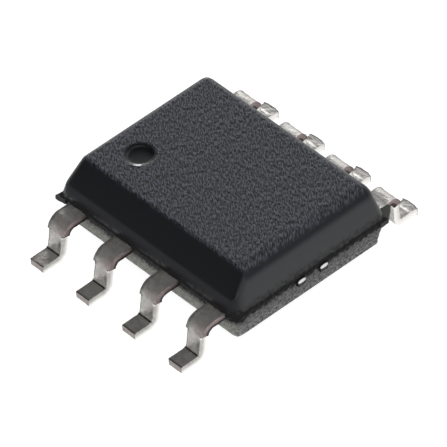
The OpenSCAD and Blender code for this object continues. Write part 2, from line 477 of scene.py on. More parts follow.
# moves the selected ring a share of the way to a radius, height and place over the mark
def sendRing(shell, radius, z, share=1):
    centre, reached = ringNow(shell)
    ratio = 1 + (radius / reached - 1) * share
    grow(ratio, ratio, 1, about=centre)
    slide((markX - centre.x) * share, (markY - centre.y) * share, z - centre.z)


# the recess of lead 1: a square of the grid gives way to rings that lead into a round hollow
def makeMark(shell):
    rim, rings = body["markWidth"] / 2, body["markRings"]
    editMode(shell)
    room = rim + body["markRoom"]
    pick("FACE", lambda f: f.normal.z > 0.99 and near(middle(f).z, topZ) and
         abs(middle(f).x - markX) < room and abs(middle(f).y - markY) < room)
    bpy.ops.mesh.delete(type="FACE")
    pick("EDGE", lambda e: len(e.link_faces) == 1)
    for left in range(rings, 0, -1):
        bpy.ops.mesh.extrude_edges_move()
        bpy.ops.transform.tosphere(value=1 / left)
        sendRing(shell, rim, topZ, 1 / left)
    for ring, height in markProfile():
        bpy.ops.mesh.extrude_edges_move()
        sendRing(shell, ring, topZ - height)
    bpy.ops.mesh.edge_face_add()
    faceOutwards()
    objectMode()


# radius and depth of each ring of the hollow: a gentle lip, a steep wall and a dished floor
def markProfile():
    rim, lip, depth = body["markWidth"] / 2, body["markLip"], body["markDepth"]
    wall, steps = rim - lip, body["markFloorSteps"]
    fall = lip * math.tan(math.radians(body["markLipTilt"]))
    for share in body["markLipRings"]:
        yield rim - lip * share, fall * share
    for i in range(steps + 1):
        turn = math.radians(90) * i / steps
        yield wall - body["markFloorRounding"] * (1 - math.cos(turn)), fall + (depth - fall) * math.sin(turn)
    for share in body["markFloorRings"]:
        yield wall * share, depth + body["markDish"] * (1 - share)


# the polished stretch of the lip, on the side of lead 2
def onPolish(place):
    away = Vector((place.x - markX, place.y - markY, 0))
    toPolish = away.angle(Vector((*body["polishWay"], 0)), math.pi)
    return fade(math.degrees(toPolish), body["polishSpread"], body["polishSpread"] * 0.6)


# how strongly the pebbles show at a point of the skin: they start halfway across the lip of the mark,
# and just outside it on the polished stretch
def pebbleShare(v):
    place, normal = v.co, v.normal
    fromMark = math.hypot(place.x - markX, place.y - markY) - body["markWidth"] / 2
    start = body["markLip"] * (0.7 * onPolish(place) - 0.5)
    share = fade(normal.z, *body["pebbleFacing"])
    share *= fade(fromMark, start - 0.01, start + 0.02)
    share *= fade(topX - place.x, 0, body["overFrontEnd"])
    share *= 1 - fade((place - bevelTop).dot(bevelWay), *body["overBevel"])
    return share


# stores how high each point of the pebbles stands, for the finish to read
def addPebbles(shell):
    before = [v.co.copy() for v in shell.data.vertices]
    group = weigh(shell, "pebbles", pebbleShare)
    axes = grainAxes(body["pebbleTurn"], body["pebbleStretch"])
    roughen(shell, "CLOUDS", body["pebbleSize"], body["pebbleDepth"], group, grain=axes, noise_depth=0)
    bpy.data.objects.remove(axes, do_unlink=True)
    pointValues = addPointValues(shell, ("height", "pebbled", "polish"))
    index = shell.vertex_groups[group].index
    for v, old in zip(shell.data.vertices, before):
        weight = next((g.weight for g in v.groups if g.group == index), 0)
        pointValues["pebbled"].data[v.index].value = weight
        fromMark = math.hypot(old.x - markX, old.y - markY)
        onLip = bump(fromMark, (body["markWidth"] - body["markLip"]) / 2, body["polishWidth"])
        pointValues["polish"].data[v.index].value = onPolish(old) * min(1, 2 * onLip)
        if weight > 0.05:
            pointValues["height"].data[v.index].value = 1 - (v.co - old).length / body["pebbleDepth"] / weight


# how strongly the grain of the lower walls shows at a point of the skin
def lowerShare(v):
    fillet = body["lipFillet"]
    share = fade(v.co.z, partingZ + fillet * body["lipTop"], partingZ + fillet * 0.6)
    return share * fade(v.co.z, bottomZ + 0.01, bottomZ + body["bottomRounding"])


def roughenWalls(shell):
    group = weigh(shell, "lowerWalls", lowerShare)
    roughen(shell, "CLOUDS", body["lowerGrain"], body["lowerDepth"], group, noise_depth=1)


flash = {
    "thickness": 0.12,
    "earReach": 0.035,
    "earLength": 0.22,
    "webReach": 0.27,
    "webFoot": 0.09,
    "webOverlap": 0.2,
    "cuts": 7,
    "grain": 0.04,
    "depth": 0.02,
}


# a thin slab of flash, cut to shape by lines that run anticlockwise round it
def makeFlashPiece(name, low, high, lines):
    piece = addBlock(name, (*low, partingZ - flash["thickness"]), (*high, partingZ))
    editMode(piece)
    for (fromX, fromY), (toX, toY) in lines:
        cutAllAt((fromX, fromY, 0), (toY - fromY, fromX - toX, 0), clear=True)
    bpy.ops.mesh.select_all(action="SELECT")
    bpy.ops.mesh.subdivide(number_cuts=flash["cuts"])
    objectMode()
    roughen(piece, "CLOUDS", flash["grain"], flash["depth"])
    share = addPointValues(piece, ("flash",))["flash"]
    for v in piece.data.vertices:
        share.data[v.index].value = 1
    return piece


# an ear on the corner beside lead 1, and a web that fills the corner beside lead 5
def addFlash(shell):
    cornerX, cornerY = -endX, -wallY
    reach, length = flash["earReach"], flash["earLength"]
    tip = (cornerX - reach, cornerY - reach)
    ear = makeFlashPiece("flashEar", tip, (cornerX + length, cornerY + length),
                         [((cornerX, cornerY + length), tip), (tip, (cornerX + length, cornerY))])
    rootX = lead["pitch"] * 1.5 + lead["width"] / 2 + lead["stub"]
    farY = wallY + flash["webReach"]
    web = makeFlashPiece("flashWeb", (rootX, wallY - flash["webOverlap"]), (endX, farY),
                         [((endX, wallY), (rootX + flash["webFoot"], farY))])
    workOn(shell)
    ear.select_set(True)
    web.select_set(True)
    bpy.ops.object.join()


def makeBody():
    shell = makeBlank()
    roundTheEdges(shell)
    cutCells(shell)
    cutBevel(shell)
    cutWalls(shell)
    print("body cut into cells,", len(shell.data.polygons), "faces")
    gridTop(shell)
    gridWalls(shell)
    print("grid on the top and walls,", len(shell.data.polygons), "faces")
    makeMark(shell)
    shapeLip(shell)
    addPebbles(shell)
    roughenWalls(shell)
    addFlash(shell)
    print("pebbles on the top, grain on the walls, flash at two corners")
    bringDown(shell)
    smoothEdges(shell, body["smoothAngle"])
    return shell


# the leads: strips with a stepped end, bent round two axes, modelled once and copied

shoulderTop = partingZ
shoulderLow = shoulderTop - lead["thickness"]
bendY = wallY + lead["flat"]
bendZ = shoulderLow - lead["shoulderBend"]
bend = math.radians(lead["bendAngle"])
legWay = Vector((0, math.cos(bend), -math.sin(bend)))
legOut = Vector((0, math.sin(bend), math.cos(bend)))
bothRadii = lead["shoulderBend"] + lead["footBend"] + lead["thickness"]
legLength = (shoulderLow - bothRadii * (1 - math.cos(bend))) / math.sin(bend)
footY = bendY + bothRadii * math.sin(bend) + legLength * math.cos(bend)
footAxisZ = lead["thickness"] + lead["footBend"]

# along the strip, from the start of the first bend, and from its middle line outwards
half, mid = lead["width"] / 2, lead["thickness"] / 2
bendEnd = (lead["shoulderBend"] + mid) * bend
footStart = bendEnd + legLength + (lead["footBend"] + mid) * bend
footEnd = footStart + lead["footLength"]


def extrudeOn(way, length, steps):
    for _ in range(steps):
        pullOut(*(way * length / steps))


def makeStrip(name, fingerWidth, tipY):
    wide = half + lead["stub"]
    neckY = wallY - lead["neck"]
    strip = addBlock(name, (-wide, neckY, shoulderLow), (wide, bendY, shoulderTop))
    editMode(strip)
    across = [half, *lead["acrossCuts"]]
    for x in across + [-x for x in across if x > 0]:
        cutAllAt((x, 0, 0), (1, 0, 0))
    for up in lead["upCuts"]:
        cutAllAt((0, 0, shoulderLow + up), (0, 0, 1))
    for i in range(lead["straightSteps"]):
        cutAllAt((0, bendY - lead["flatStep"] * (i + 1), 0), (0, 1, 0))
    pick("FACE", lambda f: f.normal.y > 0.9)
    bpy.ops.mesh.spin(steps=lead["bendSteps"], angle=bend, center=(0, bendY, bendZ), axis=(1, 0, 0))
    pick("FACE", lambda f: f.normal.dot(legWay) > 0.99 and abs(middle(f).x) < half and
         near((middle(f) - Vector((0, bendY, bendZ))).dot(legWay), 0, 0.005))
    extrudeOn(legWay, legLength, lead["straightSteps"])
    bpy.ops.mesh.spin(steps=lead["bendSteps"], angle=-bend, center=(0, footY, footAxisZ), axis=(1, 0, 0))
    extrudeOn(Vector((0, 1, 0)), lead["footLength"], lead["straightSteps"])
    pick("FACE", lambda f: near(middle(f).y, neckY))
    pullOut(y=-lead["neck"] / 2)
    grow(x=fingerWidth / 2 / wide)
    pullOut(y=tipY - neckY + lead["neck"] / 2)
    faceOutwards()
    objectMode()
    roundStrip(strip)
    return strip


# place along the strip from the start of the first bend, and height over its middle
def unroll(place):
    firstMid, lastMid = lead["shoulderBend"] + mid, lead["footBend"] + mid
    fromFirst = place - Vector((place.x, bendY, bendZ))
    fromLast = place - Vector((place.x, footY, footAxisZ))
    if place.y < bendY and place.z > footAxisZ:
        return place.y - bendY, place.z - shoulderLow - mid
    if place.y > footY and place.z < footAxisZ:
        return footStart + place.y - footY, place.z - mid
    if fromFirst.dot(legWay) < 0:
        return math.atan2(fromFirst.y, fromFirst.z) * firstMid, fromFirst.length - firstMid
    if fromLast.dot(legWay) > 0:
        turn = bend - math.atan2(-fromLast.y, -fromLast.z)
        return bendEnd + legLength + turn * lastMid, lastMid - fromLast.length
    return bendEnd + fromFirst.dot(legWay), fromFirst.dot(legOut) - firstMid


# the punch left the lower edges round and the upper ones nearly sharp
def roundStrip(strip):
    editMode(strip)
    mesh = bmesh.from_edit_mesh(strip.data)
    weight = mesh.edges.layers.float.new("bevel_weight_edge")
    for edge in mesh.edges:
        if edge.calc_face_angle(0) > math.radians(50):
            height = unroll(middle(edge))[1]
            edge[weight] = 1 if height < 0 else lead["roundAbove"] / lead["roundBelow"]
    bmesh.update_edit_mesh(strip.data)
    objectMode()
    addModifier(strip, "BEVEL", limit_method="WEIGHT", width=lead["roundBelow"], segments=2)
    addModifier(strip, "SUBSURF", subdivision_type="SIMPLE", levels=1, render_levels=1)
    applyModifiers(strip)


# marks the tin reads: bare copper, cut faces, dirt with painted shade, and painted highlights
plateMarkNames = ("bare", "cut", "grimeAndShade", "bright")

# places and widths of the marks on the plating in millimetres, and their strengths from 0 to 1: bare and
# worn plating, with painted shade along the step and a painted highlight just below it
wearAndPaintedLight = {
    "sideFacing": (0.6, 0.85),
    "topEdge": (0.04, 0.01),
    "stubBlur": 0.015,
    "turnedAlong": (-0.05, 0.25),
    "turnedAcross": (0.15, -0.15),
    "turnedBare": 0.45,
    "turnedGrime": 0.2,
    "turnedGrimeFrom": (0.1, 0.25),
    "endBlur": 0.01,
    "endBare": 0.35,
    "endGrime": 0.5,
    "stepPlace": 0.01,
    "stepWidth": 0.03,
    "stepAcross": (0.06, 0),
    "lowEdgeAcross": (0.05, 0.02),
    "lowEdgeUp": (0.09, 0.05),
    "glowPlace": 0.045,
    "glowWidth": 0.04,
    "glowAcross": (0.09, 0.02),
}

# for leads 1 to 4: a smudge of dirt, painted shade along an edge and on the foot, and painted highlights on
# the sides
nearWearAndLight = {
    "smudgePlace": (0.6, -0.115),  # share of the leg, and place across it
    "smudgeSize": (0.12, 0.045),
    "smudgeGrime": 0.6,
    "tipEdgeDown": 0.01,
    "tipEdgeSize": (0.05, 0.04),
    "tipEdgeGrime": 0.8,
    "contourAcross": (0.01, 0),
    "contourUp": (0.02, 0.005),
    "contourGrime": 0.3,
    "footGrime": 0.1,
    "footFrom": -0.05,
    "sideUp": 0.02,
}

# for leads 5 to 8: painted highlights, and painted shade round the bend
farPaintedLight = {
    "ridgeWidth": 0.055,
    "ridgeAcross": (0.04, 0.11),
    "ridgeBright": 1.8,
    "shoulderBright": 0.85,
    "shoulderAlong": (0.12, 0.02),
    "sideUp": (1.5, -0.5),  # in halves of the thickness
    "footBright": 0.4,
    "footAcross": (0.01, 0.05),
    "footFrom": -0.1,
    "bendGrime": 0.5,
    "bendAlong": (0.1, 0.16),
}


# a soft step between two distances in from an edge
def inFrom(edge, value, distances):
    return fade(value, edge - distances[0], edge - distances[1])


# the crease that the forming tool pressed in above the foot, and the marks on the plating: bare copper, cut
# faces and dirt, with painted shade in the crease, along the step and along some edges, and painted
# highlights
def markStrip(strip, nearSide):
    pointValues = addPointValues(strip, plateMarkNames)
    normals = [v.normal.copy() for v in strip.data.vertices]
    for v, normal in zip(strip.data.vertices, normals):
        along, height = unroll(v.co)
        across = v.co.x if nearSide else -v.co.x
        side = fade(abs(normal.x), *wearAndPaintedLight["sideFacing"])
        upper = inFrom(mid, height, wearAndPaintedLight["topEdge"])
        onStub = fade(along, bendEnd + wearAndPaintedLight["stubBlur"], bendEnd)
        # painted shade along the crease, over the groove that is pressed in below
        crease = bump(along, footStart + lead["creasePlace"], lead["creaseWidth"]) * upper
        turned = fade(along, *wearAndPaintedLight["turnedAlong"]) * onStub * fade(across, *wearAndPaintedLight["turnedAcross"])
        onEnd = fade(along, footEnd - wearAndPaintedLight["endBlur"], footEnd)
        worn = wearAndPaintedLight["turnedGrime"] * turned * fade(along, *wearAndPaintedLight["turnedGrimeFrom"])
        # painted shade: a dark line along the step where the stub ends
        step = bump(along, bendEnd + wearAndPaintedLight["stepPlace"], wearAndPaintedLight["stepWidth"]) * upper
        step *= inFrom(half, abs(across), wearAndPaintedLight["stepAcross"])
        lowEdge = inFrom(half, abs(across), wearAndPaintedLight["lowEdgeAcross"]) * onStub
        lowEdge *= inFrom(mid, -height, wearAndPaintedLight["lowEdgeUp"])
        # painted highlight on the leg just below the step
        stepHighlight = bump(along, bendEnd + wearAndPaintedLight["glowPlace"], wearAndPaintedLight["glowWidth"])
        stepHighlight *= inFrom(half, -across, wearAndPaintedLight["glowAcross"])
        marksAndLightHere = nearStainsAndLight if nearSide else farLightAndShade
        grimeAndShade, bright = marksAndLightHere(along, height, across, upper, side, onStub)
        marks = {
            "bare": max(wearAndPaintedLight["turnedBare"] * turned, wearAndPaintedLight["endBare"] * onEnd),
            "cut": side * onStub,
            "grimeAndShade": max(crease, step, lowEdge, worn, wearAndPaintedLight["endGrime"] * onEnd, grimeAndShade),
            "bright": max(stepHighlight, bright),
        }
        for name in plateMarkNames:
            pointValues[name].data[v.index].value = marks[name]
        v.co -= normal * crease * lead["creaseDepth"]
        if not nearSide:
            formFarLead(v, along, across, upper)


# a smudge on the leg, a dark line along the end of the toe, painted shade along one upper edge and on the
# foot and sides, and a painted highlight low on the sides
def nearStainsAndLight(along, height, across, upper, side, onStub):
    legPlace, acrossPlace = nearWearAndLight["smudgePlace"]
    alongSize, acrossSize = nearWearAndLight["smudgeSize"]
    smudge = bump(along, bendEnd + legPlace * legLength, alongSize) * upper
    smudge *= bump(across, acrossPlace, acrossSize)
    tipAlong, tipUp = nearWearAndLight["tipEdgeSize"]
    tipEdge = 2 * bump(along, footEnd, tipAlong) * bump(height, mid - nearWearAndLight["tipEdgeDown"], tipUp)
    contour = inFrom(half, across, nearWearAndLight["contourAcross"]) * inFrom(mid, height, nearWearAndLight["contourUp"])
    onSide = side * (1 - onStub)
    onFoot = fade(along, footStart + nearWearAndLight["footFrom"], footStart)
    shadedFoot = nearWearAndLight["footGrime"] * ((upper + onSide) * onFoot + onSide)
    grimeAndShade = max(smudge * nearWearAndLight["smudgeGrime"], min(nearWearAndLight["tipEdgeGrime"], tipEdge),
                contour * nearWearAndLight["contourGrime"], shadedFoot)
    return grimeAndShade, onSide * fade(height, nearWearAndLight["sideUp"], nearWearAndLight["sideUp"] - mid)


# painted highlights on the shoulders, sides and toes and along the ridge, and painted shade on a darker
# stretch round the bend
def farLightAndShade(along, height, across, upper, side, onStub):
    ridgeY = footStart + farLead["ridgePlace"]
    ridge = bump(along, ridgeY, farPaintedLight["ridgeWidth"]) * upper
    ridge *= inFrom(half, abs(across), farPaintedLight["ridgeAcross"])
    onSide = side * (1 - onStub) * fade(height, *(mid * share for share in farPaintedLight["sideUp"]))
    shoulder = farPaintedLight["shoulderBright"] * upper * fade(along, *farPaintedLight["shoulderAlong"])
    toe = farPaintedLight["footBright"] * onToe(along, across, upper)
    bendGrime = farPaintedLight["bendGrime"] * upper * fade(along, *farPaintedLight["bendAlong"]) * onStub
    return bendGrime, max(onSide, min(1, farPaintedLight["ridgeBright"] * ridge), shoulder, toe)


# the top of a far foot, in from its sides
def onToe(along, across, upper):
    inside = inFrom(half, abs(across), farPaintedLight["footAcross"])
    return upper * inside * fade(along, footStart + farPaintedLight["footFrom"], footStart)


# pushes a far shoulder out, and raises the foot behind its ridge
def formFarLead(v, along, across, upper):
    rise, fall = (footStart + farLead["ridgePlace"] + reach for reach in farLead["ridgeSlope"])
    v.co.z += farLead["ridgeRise"] * onToe(along, across, upper) * fade(along, rise, fall)
    pushed = fade(along, *farLead["pushFrom"]) * fade(along, footStart + farPaintedLight["footFrom"], bendEnd)
    v.co += Vector((0, farLead["shoulderPush"], farLead["shoulderLift"])) * pushed
    roundTip(v, footEnd - along)


# rounds the two corners of a toe, seen from above
def roundTip(v, toTip):
    radius = farLead["tipRounding"]
    beyond = Vector((abs(v.co.x) - half + radius, radius - toTip))
    if min(beyond) > 0:
        pull = max(beyond) / beyond.length - 1
        v.co.x += math.copysign(beyond.x * pull, v.co.x)
        v.co.y += beyond.y * pull


# place along the body, and whether the lead is on the side of the bevel
def leadPlace(number):
    perSide = lead["count"] // 2
    column = number - 1 if number <= perSide else 2 * perSide - number
    return (column - (perSide - 1) / 2) * lead["pitch"], number <= perSide


def makeLeads():
    corner = makeStrip("cornerLead", *lead["cornerFinger"])
    centre = makeStrip("middleLead", *lead["middleFinger"])
    made = []
    for number in range(1, lead["count"] + 1):
        place, bevelSide = leadPlace(number)
        pattern = corner if abs(place) > lead["pitch"] else centre
        piece = pattern.copy()
        piece.data = pattern.data.copy()
        piece.name = piece.data.name = "formedLead" + str(number)
        bpy.context.scene.collection.objects.link(piece)
        markStrip(piece, bevelSide)
        piece.location.x = place
        piece.rotation_euler.z = math.pi if bevelSide else 0
        workOn(piece)
        bpy.ops.object.transform_apply(location=True, rotation=True, scale=True)
        roughen(piece, "CLOUDS", lead["dentSize"], lead["dentDepth"])
        roughen(piece, "STUCCI", lead["grainSize"], lead["grainDepth"])
        bringDown(piece)
        smoothEdges(piece, lead["smoothAngle"])
        made.append(piece)
    for pattern in (corner, centre):
        bpy.data.objects.remove(pattern, do_unlink=True)
    return made


# finishes

def newFinish(name):
    finish = bpy.data.materials.new(name)
    finish.use_nodes = True
    return finish, finish.node_tree, finish.node_tree.nodes["Principled BSDF"]


def dress(piece, finish):
    piece.data.materials.clear()
    piece.data.materials.append(finish)


# links an input to a socket, or sets it to a number, a vector or a colour
def feed(tree, socket, value):
    if isinstance(value, bpy.types.NodeSocket):
        tree.links.new(value, socket)
    else:
        socket.default_value = (*value, 1) if socket.type == "RGBA" else value


def feedAll(tree, node, values):
    for key, value in values.items():
        feed(tree, node.inputs[key], value)


def addNode(tree, kind, **settings):
    node = tree.nodes.new("ShaderNode" + kind)
    for key, value in settings.items():
        if key in node.inputs:
            feed(tree, node.inputs[key], value)
        else:
            setattr(node, key, value)
    return node


def addMath(tree, operation, *values, kind="Math"):
    node = addNode(tree, kind, operation=operation)
    feedAll(tree, node, dict(enumerate(values)))
    return node.outputs["Value" if operation == "LENGTH" else 0]


def addMask(tree, name):
    return addNode(tree, "Attribute", attribute_name=name).outputs["Fac"]


# a soft step from 0 to 1, centred on a place and fading over the blur to each side
def stepAt(tree, value, place, blur):
    step = addNode(tree, "MapRange", interpolation_type="SMOOTHSTEP", Value=value)
    feedAll(tree, step, {"From Min": place - blur, "From Max": place + blur})
    return step.outputs["Result"]


def spreadOver(tree, mask, low, high):
    spread = addNode(tree, "MapRange", Value=mask)
    feedAll(tree, spread, {"To Min": low, "To Max": high})
    return spread.outputs["Result"]


# one colour over another by a mask
def mixOver(tree, mask, under, over):
    mix = addNode(tree, "Mix", data_type="RGBA")
    feedAll(tree, mix, {0: mask, 6: under, 7: over})
    return mix.outputs[2]


# the same for numbers
def mixValues(tree, mask, under, over):
    mix = addNode(tree, "Mix")
    feedAll(tree, mix, {0: mask, 2: under, 3: over})
    return mix.outputs[0]


spotsLook = {
    "detail": 4,
    "roughness": 0.6,
    "middle": 0.5,
    "blur": 0.15,
}


# a group of soft random spots, as a mask from 0 to 1
def makeSpots():
    group = bpy.data.node_groups.new("softSpots", "ShaderNodeTree")
    group.interface.new_socket("Scale", in_out="INPUT", socket_type="NodeSocketFloat")
    group.interface.new_socket("Mask", in_out="OUTPUT", socket_type="NodeSocketFloat")
    inside, out = group.nodes.new("NodeGroupInput"), group.nodes.new("NodeGroupOutput")
    place = addNode(group, "TexCoord").outputs["Object"]
    noise = addNode(group, "TexNoise", Vector=place, Scale=inside.outputs["Scale"],
                    Detail=spotsLook["detail"], Roughness=spotsLook["roughness"])
    mask = stepAt(group, noise.outputs["Fac"], spotsLook["middle"], spotsLook["blur"])
    group.links.new(mask, out.inputs["Mask"])
    return group


spotsGroup = makeSpots()


def addSpots(tree, scale):
    return addNode(tree, "Group", node_tree=spotsGroup, Scale=scale).outputs["Mask"]


resinLook = {
    "smooth": (0.0066, 0.0076, 0.0103),
    # the pit and peak tones are partly painted shade in the pits and painted highlight on the peaks
    "pit": (0.0075, 0.0082, 0.0115),
    "peak": (0.0745, 0.08, 0.1035),
    "pebbleMiddle": 0.52,
    "pebbleBlur": 0.11,
    "smoothRoughness": 0.36,
    "pebbleRoughness": 0.48,
    "polishRoughness": 0.12,
    "gloss": 0.5,
    "flash": (0.075, 0.08, 0.072),
    "grainScale": 43000,
    "grainStretch": 4.4,
    "grainFlat": 10,
    "grainShare": 0.82,
    "grainRise": 0.000003,
    "wallShare": 0.25,
    "shadow": (0.022, 0.022, 0.022),  # a dark band round the parting plane
    "shadowGloss": 0.01,
    "shadowTop": (0.13, 0.12),  # millimetres over the parting plane, and its blur
    "shadowLow": (-0.13, 0.06),
    "nearShadowTop": (0.12, 0.08),  # the same beside leads 1 to 4
    "nearShadowLow": (-0.225, 0.1),
    "nearDepth": (0.3, 0.08),
    # painted light and shade on the lower walls: pale tones for the light the floor throws up, palest beside
    # leads 1 to 4, and a dim painted shade towards the parting plane
    "dim": (0.03, 0.03, 0.03),
    "dimShare": 0.6,
    "dimFrom": (-0.35, 0.25),
    "lowerDark": (0.03, 0.03, 0.031),
    "lowerLight": (0.34, 0.34, 0.344),
    "bandDark": (0.3, 0.3, 0.27),
    "bandLight": (0.62, 0.62, 0.57),
    "bandFrom": (-1.75, 0.15),
    "lowerSpots": 18000,
    "lowerRoughness": 0.6,
    "raggedness": 0.13,
    "raggedScale": 14000,
    "raggedDetail": 3,
}


def makeResin():
    finish, tree, shader = newFinish("mouldCompound")
    pebbled, polish, flashShare = (addMask(tree, name) for name in ("pebbled", "polish", "flash"))
    grain = addGrain(tree)
    height, across = addRaggedHeight(tree)
    overShadow, overBand = addWallMasks(tree, height, across)
    tone = mixOver(tree, pebbled, resinLook["smooth"], makePebbleTone(tree, grain))
    tone = mixOver(tree, overShadow, resinLook["shadow"], tone)
    tone = mixOver(tree, overBand, makeLowerPaintedLight(tree, height, across), tone)
    tone = mixOver(tree, flashShare, tone, resinLook["flash"])
    rough = spreadOver(tree, pebbled, resinLook["smoothRoughness"], resinLook["pebbleRoughness"])
    rough = mixValues(tree, polish, rough, resinLook["polishRoughness"])
    rough = mixValues(tree, overBand, resinLook["lowerRoughness"], rough)
    gloss = spreadOver(tree, overShadow, resinLook["shadowGloss"], resinLook["gloss"])
    gloss = mixValues(tree, overBand, resinLook["gloss"], gloss)
    rise = addMath(tree, "MULTIPLY", grain, spreadOver(tree, pebbled, resinLook["wallShare"], 1))
    relief = addNode(tree, "Bump", Strength=1, Distance=resinLook["grainRise"], Height=rise)
    feedAll(tree, shader, {"Base Color": tone, "Roughness": rough, "Specular IOR Level": gloss,
                           "Normal": relief.outputs["Normal"]})
    return finish


# light peaks and dark pits, by a random grain and partly by how high a point of the pebbles stands: there
# the dark pits are painted shade and the light peaks a painted highlight
def makePebbleTone(tree, grain):
    risen = mixValues(tree, resinLook["grainShare"], addMask(tree, "height"), grain)
    peaks = stepAt(tree, risen, resinLook["pebbleMiddle"], resinLook["pebbleBlur"])
    return mixOver(tree, peaks, resinLook["pit"], resinLook["peak"])


# speckled below the parting plane, pale with painted light from the floor below, lightest on the side of
# leads 1 to 4, and dimmer towards the plane with painted shade
def makeLowerPaintedLight(tree, height, across):
    spots = addSpots(tree, resinLook["lowerSpots"])
    plain = mixOver(tree, spots, resinLook["lowerDark"], resinLook["lowerLight"])
    band = mixOver(tree, spots, resinLook["bandDark"], resinLook["bandLight"])
    tone = mixOver(tree, stepAt(tree, across, *resinLook["bandFrom"]), band, plain)
    upwards = overParting(tree, height, "dimFrom")
    return mixOver(tree, spreadOver(tree, upwards, 0, resinLook["dimShare"]), tone, resinLook["dim"])


# masks that are 1 above the dark band at the parting plane, and above its lower edge
def addWallMasks(tree, height, across):
    inner = stepAt(tree, across, resinLook["nearDepth"][0] - wallY, resinLook["nearDepth"][1])
    return [mixValues(tree, inner, overParting(tree, height, nearEdge), overParting(tree, height, edge))
            for nearEdge, edge in (("nearShadowTop", "shadowTop"), ("nearShadowLow", "shadowLow"))]


def overParting(tree, height, edge):
    offset, blur = resinLook[edge]
    return stepAt(tree, height, partingZ + offset, blur)


# fine grain, drawn out the same way as the pebbles
def addGrain(tree):
    place = addNode(tree, "TexCoord").outputs["Object"]
    turned = addNode(tree, "Mapping", vector_type="TEXTURE", Vector=place,
                     Rotation=(0, 0, math.radians(body["pebbleTurn"])),
                     Scale=(1, resinLook["grainStretch"], resinLook["grainFlat"]))
    noise = addNode(tree, "TexNoise", Vector=turned.outputs["Vector"],
                    Scale=resinLook["grainScale"], Detail=1)
    return noise.outputs["Fac"]


# height over the board and place across it in millimetres, the height with noise that makes edges ragged
def addRaggedHeight(tree):
    place = addNode(tree, "TexCoord").outputs["Object"]
    split = addNode(tree, "SeparateXYZ", Vector=place)
    noise = addNode(tree, "TexNoise", Vector=place, Scale=resinLook["raggedScale"],
                    Detail=resinLook["raggedDetail"])
    ragged = spreadOver(tree, noise.outputs["Fac"], -resinLook["raggedness"], resinLook["raggedness"])
    height = addMath(tree, "MULTIPLY_ADD", split.outputs["Z"], metre, ragged)
    return height, addMath(tree, "MULTIPLY", split.outputs["Y"], metre)


tinLook = {
    "light": (0.71, 0.7, 0.66),
    "dull": (0.58, 0.555, 0.53),
    "cut": (0.3, 0.24, 0.235),
    "bare": (0.8, 0.62, 0.6),
    # the bright colour paints highlights on the leads, and the grime colour paints dirt together with shade
    "bright": (1, 0.98, 0.95),
    "grimeAndShade": (0.03, 0.026, 0.024),
    "metallic": 0.85,
    "spots": 9000,
    "fineSpots": 36000,
    "roughness": (0.42, 0.6),
}


def makeTin():
    finish, tree, shader = newFinish("tinPlate")
    spots = addSpots(tree, tinLook["spots"])
    fine = addSpots(tree, tinLook["fineSpots"])
    colour = mixOver(tree, spots, tinLook["light"], tinLook["dull"])
    for plateMark in plateMarkNames:
        colour = mixOver(tree, addMask(tree, plateMark), colour, tinLook[plateMark])
    feedAll(tree, shader, {"Base Color": colour, "Roughness": spreadOver(tree, fine, *tinLook["roughness"]),
                           "Metallic": tinLook["metallic"]})
    return finish


mottledLooks = {
    "die_adhesive": {"name": "silverAdhesive", "dark": (0.4, 0.4, 0.4), "light": (0.62, 0.61, 0.59),
                     "spots": 20000, "roughness": (0.5, 0.7), "metallic": 0.6},
    "silicon_die": {"name": "silicon", "dark": (0.07, 0.075, 0.1), "light": (0.12, 0.12, 0.15),
                    "spots": 3000, "roughness": (0.12, 0.2), "metallic": 0.7},
    "bond_wire": {"name": "wireGold", "dark": (0.75, 0.5, 0.16), "light": (0.85, 0.6, 0.24),
                  "spots": 30000, "roughness": (0.2, 0.32), "metallic": 1},
}


# a finish whose colour and gloss wander between two values
def makeMottled(look):
    finish, tree, shader = newFinish(look["name"])
    spots = addSpots(tree, look["spots"])
    feedAll(tree, shader, {"Base Color": mixOver(tree, spots, look["dark"], look["light"]),
                           "Roughness": spreadOver(tree, spots, *look["roughness"]),
                           "Metallic": look["metallic"]})
    return finish


paddleLook = {
    "dark": (0.45, 0.22, 0.13),
    "light": (0.62, 0.33, 0.21),
    "roughness": (0.3, 0.45),
    "metallic": 0.9,
    "spots": 6000,
    "dust": (0.05, 0.05, 0.05),
    "dustDepth": (0.1, 0.01),
    "cutBright": (0.7, 0.7, 0.71),
    "cutShadow": (0.03, 0.03, 0.03),
    "cutDepth": (0.006, 0.003),
    "cutMiddle": (0, 0.28, 0.77),  # of a tie bar's cut end, seen along the body
    "cutHalf": (metre, 0.1, 0.042),  # so large along the body that only the other two count
    "cutBlur": 0.12,
}


